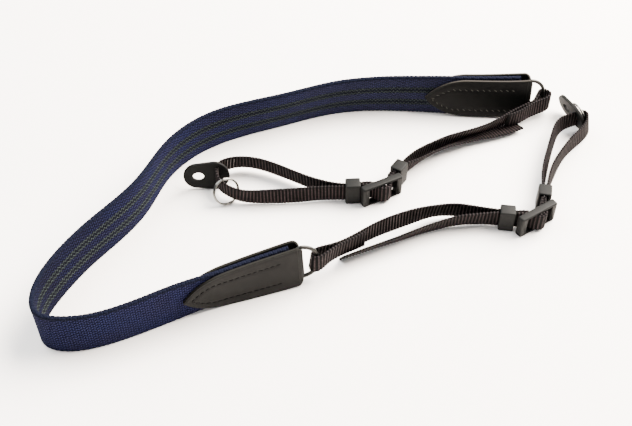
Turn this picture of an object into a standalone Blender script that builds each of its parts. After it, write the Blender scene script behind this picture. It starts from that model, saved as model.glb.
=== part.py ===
"""A camera strap lying on its edge in a loose coil: a shoulder webbing with two leather tabs,
and at each end a ring, a narrow adjuster strip, two keepers, a buckle, a lug protector and a split ring."""

import math
from collections import namedtuple

import bmesh
import bpy
import numpy as np
from mathutils import Matrix, Vector

# Sizes and tables are in millimetres and degrees, and the model is in metres
MM = 0.001

# The middle of the strap's footprint, seen from the tables' own origin
MIDDLE_X = 11.9
MIDDLE_Y = -1.7

# Webbing
MAIN_WIDTH = 25.0
MAIN_THICKNESS = 2.3
STRIP_WIDTH = 10.0
STRIP_THICKNESS = 1.2
TOUCH_GAP = 0.3

# Leather tabs, folded round the bars of the oval rings and sewn through the webbing
LEATHER_HEIGHT = 25.4
LEATHER_THICKNESS = 1.5
TAB_LENGTH = 61.0
TAB_POINT_LENGTH = 23.0
TAB_NOSE_HEIGHT = 1.6
FOLD_HEIGHT = 15.5
WEBBING_SHORT_OF_BAR = 4.0

# Oval rings: a straight bar and a bow
RING_WIRE = 2.0
RING_REACH = 10.5
RING_HALF_HEIGHT = 10.0
RING_FULLNESS = 2.2

# Moulded keepers and buckles
KEEPER_LENGTH = 7.2
KEEPER_DEPTH = 6.2
KEEPER_HEIGHT = 13.0
KEEPER_WALL = 0.9
BUCKLE_LENGTH = 22.8
BUCKLE_DEPTH = 4.2
BUCKLE_HEIGHT = 12.9
BUCKLE_STILE = 3.75
BUCKLE_RAIL = 1.15
BUCKLE_BAR = 2.2
BUCKLE_BAR_FORWARD = 0.5
MOULDED_EDGE = 0.35

# Lug protectors and split rings
PROTECTOR_LENGTH = 24.6
PROTECTOR_THICKNESS = 1.8
PROTECTOR_SMALL_END = 7.3
PROTECTOR_LARGE_END = 8.3
LUG_HOLE = 6.2
LUG_HOLE_FROM_MIDDLE = 4.3
SLIT_LENGTH = 12.2
SLIT_WIDTH = 2.4
SLIT_FROM_MIDDLE = 5.9
SPLIT_RING_RADIUS = 7.0
SPLIT_RING_WIRE = 1.0

# Colours
NAVY = (0.024, 0.033, 0.090)
BLACK_LEATHER = (0.020, 0.020, 0.019)
BLACK_STRIP = (0.022, 0.016, 0.017)
MOULDED_GREY = (0.038, 0.040, 0.038)
GUNMETAL = (0.09, 0.09, 0.085)
NICKEL = (0.62, 0.60, 0.55)

# A row of a route: the middle of the band, and how far its top edge tips to the right of travel
Row = namedtuple("Row", "x y z lean")

# A row of the shoulder webbing, which stands on its lower edge; lift raises it clear of the ground
Stand = namedtuple("Stand", "x y lean lift")

# From the front ring's bar round the left end to the back ring's bar
MAIN_ROUTE = (
    Stand(-9.5, -45.5, 4.5, 0.6),
    Stand(-36.0, -56.0, -1.0, 0.3),
    Stand(-45.5, -60.0, -4.0, 0.4),
    Stand(-64.5, -68.5, -2.0, 0.2),
    Stand(-104.0, -86.0, -1.5, 0.0),
    Stand(-109.5, -87.0, -0.5, 0.0),
    Stand(-126.5, -83.5, -0.5, 0.0),
    Stand(-129.5, -71.0, -1.0, 0.0),
    Stand(-126.0, -58.0, -3.5, 0.0),
    Stand(-113.0, -34.0, -5.5, 0.0),
    Stand(-97.5, -12.5, -4.5, 0.0),
    Stand(-90.5, -0.5, -2.5, 0.0),
    Stand(-80.0, 26.0, 1.5, 0.0),
    Stand(-62.5, 47.5, 1.5, 0.0),
    Stand(-34.5, 62.0, 4.0, 0.0),
    Stand(-20.5, 67.0, 5.5, 0.0),
    Stand(11.5, 78.5, 5.5, 0.0),
    Stand(51.5, 81.5, 0.0, 0.3),
    Stand(105.5, 79.5, -6.0, 0.5),
    Stand(119.4, 80.0, -5.0, 0.6),
)

# The front strip: its sewn flap, the loop round the ring, and the strand on to the first keeper
FRONT_FROM_RING = (
    Row(24.5, -27.3, 10.7, 0),
    Row(17.7, -31.9, 11.3, -3),
    Row(11.5, -36.1, 11.9, -5),
    Row(6.8, -40.2, 12.4, -5),
    Row(3.8, -43.4, 12.6, -2),
    Row(1.4, -45.3, 12.6, 1),
    Row(-0.8, -45.7, 12.6, 5),
    Row(-2.4, -43.8, 12.6, 7),
    Row(-1.9, -41.0, 12.6, 6),
    Row(0.5, -39.0, 12.6, 6),
    Row(6.6, -36.6, 12.2, 5),
    Row(12.5, -33.5, 11.6, 5),
    Row(22.0, -27.0, 10.9, 1),
    Row(31.0, -20.5, 10.1, -4),
    Row(41.0, -14.5, 9.1, -6),
    Row(51.0, -9.5, 8.3, -1),
    Row(61.5, -5.5, 7.5, 9),
    Row(73.0, -4.0, 6.6, 4),
    Row(84.0, -6.0, 6.3, 1),
)

# Its loop at the right: up to the protector's slit, round the curl and back to the second keeper
FRONT_LOOP = (
    Row(120.0, 11.5, 6.5, -7),
    Row(127.0, 37.0, 6.8, -12),
    Row(131.5, 49.5, 7.7, -12),
    Row(139.0, 61.6, 8.1, -7),
    Row(144.8, 64.2, 8.4, -1),
    Row(147.5, 65.4, 8.4, 0),
    Row(150.3, 66.6, 8.4, 1),
    Row(152.4, 65.6, 8.4, 6),
    Row(153.1, 62.0, 8.3, 11),
    Row(150.5, 55.8, 8.1, 11),
    Row(142.3, 46.5, 7.8, 7),
    Row(135.0, 37.5, 7.3, 4),
    Row(128.0, 25.5, 6.5, 9),
)

# Its tail, from the first keeper to the free end
FRONT_TAIL = (
    Row(84.5, -10.0, 6.4, -11),
    Row(73.5, -11.0, 6.2, -15),
    Row(62.5, -13.5, 5.2, -20),
    Row(52.0, -17.5, 4.9, -24),
    Row(42.0, -22.0, 4.7, -28),
    Row(31.5, -26.5, 4.6, -31),
    Row(21.5, -31.0, 4.6, -33),
    Row(12.6, -35.1, 4.5, -35),
)

# The back strip: its sewn flap, the loop round the ring, and the strand on to its first keeper
BACK_FROM_RING = (
    Row(107.1, 63.4, 8.3, 12),
    Row(114.7, 66.5, 8.5, 3),
    Row(123.3, 72.4, 8.9, 0),
    Row(129.0, 75.3, 9.2, -2),
    Row(132.3, 77.3, 9.4, -1),
    Row(134.1, 80.3, 9.5, 0),
    Row(131.5, 83.9, 9.6, -4),
    Row(127.5, 82.9, 10.0, -9),
    Row(125.2, 78.4, 10.2, -19),
    Row(122.3, 74.6, 9.4, -12),
    Row(113.5, 69.5, 8.0, -8),
    Row(104.0, 63.5, 7.5, -15),
    Row(94.0, 58.1, 7.3, -24),
    Row(84.0, 53.7, 7.2, -24),
    Row(73.5, 49.0, 7.0, -17),
    Row(63.5, 43.4, 6.6, -13),
    Row(54.5, 37.0, 6.5, -10),
    Row(48.0, 30.0, 6.4, -7),
)

# Its loop at the left: out to the curl, through the protector's slit and back
BACK_LOOP = (
    Row(1.5, 14.0, 6.5, -5),
    Row(-5.0, 17.0, 6.7, -9),
    Row(-23.0, 26.5, 7.0, -9),
    Row(-31.0, 29.5, 7.4, -11),
    Row(-42.5, 30.5, 7.8, -13),
    Row(-48.5, 28.3, 8.1, -9),
    Row(-51.6, 25.5, 8.2, -4),
    Row(-52.8, 21.9, 8.2, 0),
    Row(-52.8, 18.0, 8.2, 0),
    Row(-51.3, 14.0, 8.0, 3),
    Row(-46.4, 9.2, 7.5, 9),
    Row(-38.0, 6.4, 6.3, 8),
    Row(-33.0, 6.3, 5.8, 5),
    Row(-24.5, 6.5, 5.7, 0),
    Row(-7.5, 7.5, 6.0, -2),
    Row(3.0, 8.4, 6.3, 0),
)

# Its tail, from the first keeper to the free end, where the strip lies nearly flat
BACK_TAIL = (
    Row(47.2, 25.6, 6.3, 4),
    Row(50.9, 29.2, 5.9, 17),
    Row(59.8, 37.2, 4.9, 33),
    Row(68.4, 43.0, 4.3, 42),
    Row(75.1, 47.0, 3.7, 51),
    Row(81.7, 50.6, 3.1, 61),
    Row(88.2, 54.1, 2.7, 66),
    Row(94.8, 57.0, 2.4, 71),
    Row(101.4, 59.9, 2.2, 73),
    Row(108.0, 62.8, 2.2, 73),
    Row(115.3, 66.3, 2.2, 73),
)

# A buckle: its middle, its bearing, and the two layers' common middle line before and after its bar
Weave = namedtuple("Weave", "x y bearing before after turn_from turn_to")
WEAVE_HEIGHT = 6.4
FRONT_WEAVE = Weave(
    x=114.2,
    y=-9.1,
    bearing=33.4,
    before=((98.2, -9.5), (103.0, -9.9), (107.1, -9.75), (110.3, -10.7)),
    after=((117.6, -3.0), (119.5, 4.9)),
    turn_from=-22,
    turn_to=85,
)
BACK_WEAVE = Weave(
    x=35.4,
    y=11.0,
    bearing=27.4,
    before=((19.4, 9.9), (24.0, 10.7), (28.2, 11.1), (31.0, 10.2)),
    after=((38.7, 13.5), (39.3, 17.0), (41.2, 19.9), (44.4, 23.2)),
    turn_from=-28,
    turn_to=83,
)

# Where each hard piece stands: bearing is the way it faces, tip is how far its top falls back
Place = namedtuple("Place", "x y z bearing tip")
RINGS = {
    "oval_ring_front": Place(-9.5, -45.5, 13.3, 12, 4.5),
    "oval_ring_back": Place(119.4, 80.0, 12.9, 3, 5),
}
KEEPERS = {
    "keeper_front_1": Place(98.2, -9.5, 6.5, -8, 0),
    "keeper_front_2": Place(119.5, 4.9, 6.5, 79, 0),
    "keeper_back_1": Place(44.4, 23.2, 6.5, 56, 0),
    "keeper_back_2": Place(19.4, 9.9, 6.5, 4, 0),
}
BUCKLES = {"buckle_front": FRONT_WEAVE, "buckle_back": BACK_WEAVE}
BUCKLE_MIDDLE = 6.45
PROTECTORS = {
    "lug_protector_front": Place(145.6, 71.0, 8.4, -67, -18),
    "lug_protector_back": Place(-58.4, 19.6, 8.3, 3, 12),
}
SPLIT_RINGS = {
    "split_ring_front": Place(148.9, 68.6, 8.1, -67, -18),
    "split_ring_back": Place(-47.0, 9.8, 7.3, 32, 24),
}

# How closely the bands are divided: by distance, by turn and by change of width
STATION_STEP = 5.0
STATION_TURN = 8.0
STATION_FLARE = 1.6
FINE_STEP = 0.4
LAYER_STEP = 1.6


def unit(vector):
    return vector / np.linalg.norm(vector)


def natural_spline(knots, values):
    """The natural cubic spline through the values at the knots, as a function of distance."""
    gaps = np.diff(knots)
    slopes = np.diff(values, axis=0) / gaps[:, None]
    system = np.eye(len(knots))
    right = np.zeros_like(values)
    for i in range(1, len(knots) - 1):
        system[i, i - 1 : i + 2] = gaps[i - 1], 2 * (gaps[i - 1] + gaps[i]), gaps[i]
        right[i] = 6 * (slopes[i] - slopes[i - 1])
    bends = np.linalg.solve(system, right)

    def at(distance):
        i = int(np.clip(np.searchsorted(knots, distance) - 1, 0, len(gaps) - 1))
        ahead = knots[i + 1] - distance
        behind = distance - knots[i]
        cubic = (bends[i] * ahead**3 + bends[i + 1] * behind**3) / (6 * gaps[i])
        start = (values[i] / gaps[i] - bends[i] * gaps[i] / 6) * ahead
        end = (values[i + 1] / gaps[i] - bends[i + 1] * gaps[i] / 6) * behind
        return cubic + start + end

    return at


class Route:
    """A smooth line for a band on edge: its middle, travel, side and up directions by distance."""

    def __init__(self, rows):
        table = np.array(rows, float)
        steps = np.linalg.norm(np.diff(table[:, :3], axis=0), axis=1)
        knots = np.concatenate(([0.0], np.cumsum(steps)))
        self.length = knots[-1]
        self.row_at = natural_spline(knots, table)

    def frame(self, distance):
        probe = 0.05
        row = self.row_at(distance)
        ahead = self.row_at(min(distance + probe, self.length))
        behind = self.row_at(max(distance - probe, 0.0))
        travel = unit((ahead - behind)[:3])
        side = unit(np.cross(travel, (0, 0, 1)))
        rise = np.cross(side, travel)
        lean = math.radians(row[3])
        up = rise * math.cos(lean) + side * math.sin(lean)
        across = side * math.cos(lean) - rise * math.sin(lean)
        return row[:3], travel, up, across


Station = namedtuple("Station", "middle up half")


def thinned(stations):
    """Keep a station where the band has run, turned or changed its width enough since the last."""
    kept = [stations[0]]
    run = 0.0
    turn = 0.0
    for before, here, after in zip(stations, stations[1:], stations[2:]):
        arrive = here.middle - before.middle
        leave = after.middle - here.middle
        run += np.linalg.norm(arrive)
        turn += math.degrees(math.acos(np.clip(unit(arrive) @ unit(leave), -1, 1)))
        flare = abs(here.half - kept[-1].half)
        if run >= STATION_STEP or turn >= STATION_TURN or flare >= STATION_FLARE:
            kept.append(here)
            run = 0.0
            turn = 0.0
    return kept + [stations[-1]]


def along(route, start, end, half):
    """Closely spaced stations on a route, with one half-width all the way."""
    count = max(2, round((end - start) / FINE_STEP) + 1)
    frames = [route.frame(distance) for distance in np.linspace(start, end, count)]
    return [Station(middle, up, half) for middle, _, up, _ in frames]


def finish(name, colour, roughness, metallic=0.0):
    material = bpy.data.materials.new(name)
    material.use_nodes = True
    shader = material.node_tree.nodes["Principled BSDF"]
    shader.inputs["Base Color"].default_value = (*colour, 1)
    shader.inputs["Roughness"].default_value = roughness
    shader.inputs["Metallic"].default_value = metallic
    return material


def add_object(name, data, collection, material=None):
    piece = bpy.data.objects.new(name, data)
    collection.objects.link(piece)
    piece.parent = strap
    if material:
        data.materials.append(material)
    return piece


def band(name, stations, thickness, material):
    """Extrude an upright edge from station to station, and give that sheet its thickness."""
    cloth = bmesh.new()
    ends = [[(s.middle + sign * s.half * s.up) * MM for sign in (-1, 1)] for s in stations]
    edge = cloth.edges.new([cloth.verts.new(point) for point in ends[0]])
    low = edge.verts[0]
    for low_place, high_place in ends[1:]:
        grown = bmesh.ops.extrude_edge_only(cloth, edges=[edge])["geom"]
        edge = next(part for part in grown if isinstance(part, bmesh.types.BMEdge))
        new_low = min(edge.verts, key=lambda vert: (vert.co - low.co).length)
        new_high = edge.other_vert(new_low)
        new_low.co = low_place
        new_high.co = high_place
        low = new_low
    mesh = bpy.data.meshes.new(name)
    cloth.to_mesh(mesh)
    cloth.free()
    piece = add_object(name, mesh, parts, material)
    wall = piece.modifiers.new("wall", "SOLIDIFY")
    wall.thickness = thickness * MM
    wall.offset = 0
    wall.use_even_offset = True
    return piece


def standing_row(stand):
    """The middle of the shoulder webbing when its lower edge is just above the ground."""
    lean = math.radians(stand.lean)
    half_height = MAIN_WIDTH / 2 * math.cos(lean) + MAIN_THICKNESS / 2 * abs(math.sin(lean))
    return Row(stand.x, stand.y, half_height + stand.lift, stand.lean)


def build_shoulder_webbing(route):
    start = WEBBING_SHORT_OF_BAR
    end = route.length - WEBBING_SHORT_OF_BAR
    stations = thinned(along(route, start, end, MAIN_WIDTH / 2))
    band("shoulder_webbing", stations, MAIN_THICKNESS, finish("navy_webbing", NAVY, 0.9))


def tab_half_height(from_tip):
    """Half the height of a flap at a distance from its tip: a pointed arch with a small blunt nose."""
    half = LEATHER_HEIGHT / 2
    if from_tip >= TAB_POINT_LENGTH:
        return half
    radius = (TAB_POINT_LENGTH**2 + half**2) / (2 * half)
    arch = math.sqrt(radius**2 - (TAB_POINT_LENGTH - from_tip) ** 2) - (radius - half)
    return max(arch, TAB_NOSE_HEIGHT / 2)


def build_leather_tab(name, route, at_start):
    """One strip of leather: the outer flap, the fold round the ring's bar and the inner flap."""
    offset = MAIN_THICKNESS / 2 + TOUCH_GAP + LEATHER_THICKNESS / 2
    flap = TAB_LENGTH - offset - LEATHER_THICKNESS / 2
    count = round(flap / FINE_STEP)
    outer = []
    inner = []
    for from_bar in np.linspace(0, flap, count):
        distance = from_bar if at_start else route.length - from_bar
        middle, _, up, across = route.frame(distance)
        half = tab_half_height(flap - from_bar)
        outer.append(Station(middle - offset * across, up, half))
        inner.append(Station(middle + offset * across, up, half))
    middle, travel, up, across = route.frame(0 if at_start else route.length)
    outward = -travel if at_start else travel
    fold = []
    shoulder = 32
    for angle in range(-84, 85, 12):
        turn = math.radians(angle)
        round_bar = across * math.sin(turn) + outward * math.cos(turn)
        narrowing = min(1.0, (90 - abs(angle)) / shoulder)
        half = LEATHER_HEIGHT / 2 + (FOLD_HEIGHT - LEATHER_HEIGHT) / 2 * narrowing
        fold.append(Station(middle + offset * round_bar, up, half))
    stations = thinned(outer[::-1]) + fold + thinned(inner)
    band(name, stations, LEATHER_THICKNESS, finish(name + "_leather", BLACK_LEATHER, 0.55))


def placed(piece, place):
    """Stand a piece at its place, turned to its bearing, its top tipped back."""
    piece.location = Vector((place.x, place.y, place.z)) * MM
    piece.rotation_euler = (math.radians(-place.tip), 0, math.radians(place.bearing))
    return piece


def build_oval_ring(name, place):
    """A bar and a bow of round wire; the bow is a half of a slightly squared ellipse."""
    bow = []
    for angle in range(-78, 79, 12):
        turn = math.radians(angle)
        out = math.cos(turn) ** (2 / RING_FULLNESS)
        climb = math.copysign(abs(math.sin(turn)) ** (2 / RING_FULLNESS), angle)
        bow.append((RING_REACH * out, 0, RING_HALF_HEIGHT * climb))
    bar_end = RING_HALF_HEIGHT - RING_WIRE / 2
    bar = [(0, 0, bar_end), (0, 0, -bar_end)]
    curve = bpy.data.curves.new(name, "CURVE")
    curve.dimensions = "3D"
    curve.bevel_depth = RING_WIRE / 2 * MM
    curve.bevel_resolution = 2
    wire = curve.splines.new("POLY")
    points = bow + bar
    wire.points.add(len(points) - 1)
    for point, co in zip(wire.points, points):
        point.co = (*(Vector(co) * MM), 1)
    wire.use_cyclic_u = True
    placed(add_object(name, curve, parts, finish(name + "_steel", GUNMETAL, 0.35, 1.0)), place)


def box(name, size, collection, corner_axis, corner_radius, material=None):
    """A box about its own middle, with the four edges along one axis rounded."""
    block = bmesh.new()
    bmesh.ops.create_cube(block, size=1, matrix=Matrix.Diagonal((*(Vector(size) * MM), 1)))
    along_axis = [
        edge
        for edge in block.edges
        if abs((edge.verts[0].co - edge.verts[1].co).normalized()[corner_axis]) > 0.9
    ]
    bmesh.ops.bevel(
        block,
        geom=along_axis,
        offset=corner_radius * MM,
        affect="EDGES",
        segments=3,
        profile=0.5,
        material=-1,
    )
    mesh = bpy.data.meshes.new(name)
    block.to_mesh(mesh)
    block.free()
    return add_object(name, mesh, collection, material)


def cut_or_join(piece, tool, operation):
    change = piece.modifiers.new(tool.name, "BOOLEAN")
    change.object = tool
    change.operation = operation
    tool.parent = piece
    tool.hide_render = True
    tool.display_type = "WIRE"


def soften(piece):
    edges = piece.modifiers.new("moulded_edge", "BEVEL")
    edges.width = MOULDED_EDGE * MM
    edges.segments = 1
    edges.limit_method = "ANGLE"
    edges.angle_limit = math.radians(50)


def build_keeper(name, place):
    """A short moulded sleeve that holds two layers of the strip together."""
    outer = (KEEPER_LENGTH, KEEPER_DEPTH, KEEPER_HEIGHT)
    inner = (KEEPER_LENGTH * 2, KEEPER_DEPTH - 2 * KEEPER_WALL, KEEPER_HEIGHT - 2 * KEEPER_WALL)
    keeper = box(name, outer, parts, 0, 1.2, finish(name + "_plastic", MOULDED_GREY, 0.6))
    soften(keeper)
    cut_or_join(keeper, box(name + "_hollow", inner, cutters, 0, 0.5), "DIFFERENCE")
    placed(keeper, place)


def build_buckle(name, weave):
    """A moulded frame with one window, and the round bar down the middle of it."""
    outer = (BUCKLE_LENGTH, BUCKLE_DEPTH, BUCKLE_HEIGHT)
    window = (BUCKLE_LENGTH - 2 * BUCKLE_STILE, BUCKLE_DEPTH * 2, BUCKLE_HEIGHT - 2 * BUCKLE_RAIL)
    buckle = box(name, outer, parts, 1, 1.4, finish(name + "_plastic", MOULDED_GREY, 0.6))
    soften(buckle)
    cut_or_join(buckle, box(name + "_window", window, cutters, 1, 0.6), "DIFFERENCE")
    rod = bmesh.new()
    bmesh.ops.create_cone(
        rod,
        cap_ends=True,
        segments=14,
        radius1=BUCKLE_BAR / 2 * MM,
        radius2=BUCKLE_BAR / 2 * MM,
        depth=(BUCKLE_HEIGHT - BUCKLE_RAIL) * MM,
    )
    mesh = bpy.data.meshes.new(name + "_bar")
    rod.to_mesh(mesh)
    rod.free()
    bar = add_object(name + "_bar", mesh, cutters)
    cut_or_join(buckle, bar, "UNION")
    bar.location.y = -BUCKLE_BAR_FORWARD * MM
    placed(buckle, Place(weave.x, weave.y, BUCKLE_MIDDLE, weave.bearing, 0))


def arc_points(x, y, radius, start, end, step):
    """Points of an arc round x, y, from the start angle to the end angle in degrees."""
    count = max(2, round(abs(end - start) / step) + 1)
    angles = np.radians(np.linspace(start, end, count))
    return [(x + radius * math.cos(a), y + radius * math.sin(a)) for a in angles]


def add_loop(curve, outline):
    spline = curve.splines.new("POLY")
    spline.points.add(len(outline) - 1)
    for point, (x, y) in zip(spline.points, outline):
        point.co = (x * MM, y * MM, 0, 1)
    spline.use_cyclic_u = True


def build_lug_protector(name, place):
    """A flat plate with a round hole for the camera's lug and a slit for the strip."""
    small_x = PROTECTOR_SMALL_END - PROTECTOR_LENGTH / 2
    large_x = PROTECTOR_LENGTH / 2 - PROTECTOR_LARGE_END
    flare = math.degrees(math.asin((PROTECTOR_LARGE_END - PROTECTOR_SMALL_END) / (large_x - small_x)))
    outline = arc_points(small_x, 0, PROTECTOR_SMALL_END, 90 + flare, 270 - flare, 18)
    outline += arc_points(large_x, 0, PROTECTOR_LARGE_END, -90 - flare, 90 + flare, 18)
    hole = arc_points(-LUG_HOLE_FROM_MIDDLE, 0, LUG_HOLE / 2, 0, 345, 15)
    slit_end = (SLIT_LENGTH - SLIT_WIDTH) / 2
    slit = arc_points(SLIT_FROM_MIDDLE, slit_end, SLIT_WIDTH / 2, 0, 180, 30)
    slit += arc_points(SLIT_FROM_MIDDLE, -slit_end, SLIT_WIDTH / 2, 180, 360, 30)
    curve = bpy.data.curves.new(name, "CURVE")
    curve.dimensions = "2D"
    curve.fill_mode = "BOTH"
    curve.extrude = PROTECTOR_THICKNESS / 2 * MM
    for loop in (outline, hole, slit):
        add_loop(curve, loop)
    plate = add_object(name, curve, parts, finish(name + "_rubber", BLACK_LEATHER, 0.7))
    placed(plate, place)
    plate.rotation_euler.x += math.radians(90)


def build_split_ring(name, place):
    bpy.ops.mesh.primitive_torus_add(
        major_segments=32,
        minor_segments=8,
        major_radius=SPLIT_RING_RADIUS * MM,
        minor_radius=SPLIT_RING_WIRE / 2 * MM,
    )
    ring = bpy.context.object
    ring.name = name
    for holder in list(ring.users_collection):
        holder.objects.unlink(ring)
    parts.objects.link(ring)
    ring.parent = strap
    ring.data.materials.append(finish(name + "_nickel", NICKEL, 0.2, 1.0))
    placed(ring, place)
    ring.rotation_euler.x += math.radians(90)


def layer_rows(weave, side):
    """One layer of the strip from keeper to keeper: in behind the frame, over the bar, out again."""
    bearing = math.radians(weave.bearing)
    bar_x = weave.x + BUCKLE_BAR_FORWARD * math.sin(bearing)
    bar_y = weave.y - BUCKLE_BAR_FORWARD * math.cos(bearing)
    half_pitch = (STRIP_THICKNESS + TOUCH_GAP) / 2
    inner_radius = BUCKLE_BAR / 2 + TOUCH_GAP + STRIP_THICKNESS / 2
    turn = arc_points(
        bar_x,
        bar_y,
        inner_radius + half_pitch,
        weave.turn_from - 90,
        weave.turn_to - 90,
        15,
    )
    middle_line = [*weave.before, *turn, *weave.after]
    route = Route([Row(x, y, WEAVE_HEIGHT, 0) for x, y in middle_line])
    rows = []
    for distance in np.linspace(0, route.length, round(route.length / LAYER_STEP)):
        middle, _, _, across = route.frame(distance)
        rows.append(Row(*(middle + side * half_pitch * across), 0))
    return rows


def build_adjuster_strip(name, rows):
    route = Route(rows)
    stations = thinned(along(route, 0, route.length, STRIP_WIDTH / 2))
    band(name, stations, STRIP_THICKNESS, finish(name + "_cloth", BLACK_STRIP, 0.9))


for old in list(bpy.data.objects):
    bpy.data.objects.remove(old, do_unlink=True)

parts = bpy.data.collections.new("camera_strap")
cutters = bpy.data.collections.new("cutters")
for group in (parts, cutters):
    bpy.context.scene.collection.children.link(group)
cutters.hide_render = True

strap = bpy.data.objects.new("strap_place", None)
strap.location = (-MIDDLE_X * MM, -MIDDLE_Y * MM, 0)
parts.objects.link(strap)

main_route = Route([standing_row(stand) for stand in MAIN_ROUTE])
build_shoulder_webbing(main_route)
build_leather_tab("leather_tab_front", main_route, at_start=True)
build_leather_tab("leather_tab_back", main_route, at_start=False)

# The front strip runs left to right first, with its long strand as the far layer
front_rows = [
    *FRONT_FROM_RING,
    *layer_rows(FRONT_WEAVE, side=-1),
    *FRONT_LOOP,
    *layer_rows(FRONT_WEAVE, side=1)[::-1],
    *FRONT_TAIL,
]
build_adjuster_strip("adjuster_strip_front", front_rows)

# The back strip runs right to left first, with its long strand as the far layer too
back_rows = [
    *BACK_FROM_RING,
    *layer_rows(BACK_WEAVE, side=-1)[::-1],
    *BACK_LOOP,
    *layer_rows(BACK_WEAVE, side=1),
    *BACK_TAIL,
]
build_adjuster_strip("adjuster_strip_back", back_rows)

for ring_name, ring_place in RINGS.items():
    build_oval_ring(ring_name, ring_place)
for keeper_name, keeper_place in KEEPERS.items():
    build_keeper(keeper_name, keeper_place)
for buckle_name, buckle_weave in BUCKLES.items():
    build_buckle(buckle_name, buckle_weave)
for protector_name, protector_place in PROTECTORS.items():
    build_lug_protector(protector_name, protector_place)
for split_name, split_place in SPLIT_RINGS.items():
    build_split_ring(split_name, split_place)
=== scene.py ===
"""A camera strap standing on its edge in a loose coil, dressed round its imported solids."""

import math
from collections import namedtuple

import bmesh
import bpy
import numpy as np
from mathutils import Matrix, Vector


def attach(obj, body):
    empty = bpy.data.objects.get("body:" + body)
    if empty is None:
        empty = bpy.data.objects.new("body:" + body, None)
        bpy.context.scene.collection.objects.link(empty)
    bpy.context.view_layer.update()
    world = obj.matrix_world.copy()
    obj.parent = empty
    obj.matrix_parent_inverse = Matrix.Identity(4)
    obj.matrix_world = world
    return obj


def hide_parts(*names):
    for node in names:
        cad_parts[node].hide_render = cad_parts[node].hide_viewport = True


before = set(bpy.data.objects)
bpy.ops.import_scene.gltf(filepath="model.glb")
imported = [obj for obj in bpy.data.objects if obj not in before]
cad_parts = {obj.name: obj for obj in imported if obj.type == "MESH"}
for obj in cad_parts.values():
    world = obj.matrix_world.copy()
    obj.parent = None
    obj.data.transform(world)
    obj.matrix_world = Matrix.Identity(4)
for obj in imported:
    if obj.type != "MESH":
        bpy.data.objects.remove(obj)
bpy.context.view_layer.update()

# THE VIEW
# The strap lies on a plain pale floor and is seen from the front, from about 47 degrees above it.
# Two large soft lamps stand over it: the main one behind it to the right, a weaker one at the left.
MM = 0.001
MIDDLE = np.array([11.9, -1.7, 0.0])

lens = bpy.data.cameras.new("camera")
lens.sensor_width = 36
lens.lens = 55.82
camera = bpy.data.objects.new("camera", lens)
camera.location = (Vector((0, -351.8, 377.2)) - Vector(MIDDLE)) * MM
camera.rotation_euler = (math.radians(43), 0, 0)
bpy.context.scene.collection.objects.link(camera)
bpy.context.scene.camera = camera


def to_mesh(name, shape):
    """A named mesh from a finished bmesh, which is then freed."""
    mesh = bpy.data.meshes.new(name)
    shape.to_mesh(mesh)
    shape.free()
    return mesh


sheet = bmesh.new()
bmesh.ops.create_grid(sheet, x_segments=1, y_segments=1, size=6)
floor_mesh = to_mesh("floor", sheet)
floor = bpy.data.objects.new("floor", floor_mesh)
bpy.context.scene.collection.objects.link(floor)
paper = bpy.data.materials.new("pale_paper")
paper.use_nodes = True
paper_shader = paper.node_tree.nodes["Principled BSDF"]
paper_shader.inputs["Base Color"].default_value = (0.95, 0.905, 0.865, 1)
paper_shader.inputs["Roughness"].default_value = 0.9
paper_shader.inputs["Specular IOR Level"].default_value = 0.2
floor_mesh.materials.append(paper)


def hang_lamp(name, place, size, watts, colour):
    """A square soft lamp that faces the middle of the strap."""
    lamp = bpy.data.lights.new(name, "AREA")
    lamp.size = size
    lamp.energy = watts
    lamp.color = colour
    holder = bpy.data.objects.new(name, lamp)
    holder.location = place
    holder.rotation_euler = Vector(place).to_track_quat("Z", "Y").to_euler()
    bpy.context.scene.collection.objects.link(holder)


hang_lamp("main_lamp", (0.70, 0.46, 0.86), 1.05, 192, (1.0, 0.925, 0.845))
hang_lamp("side_lamp", (-0.9, 0.55, 1.3), 1.4, 76, (0.96, 0.98, 1.0))
world = bpy.data.worlds.new("room")
world.use_nodes = True
world.node_tree.nodes["Background"].inputs["Color"].default_value = (0.95, 0.97, 1.0, 1)
world.node_tree.nodes["Background"].inputs["Strength"].default_value = 0.82
bpy.context.scene.world = world


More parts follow.
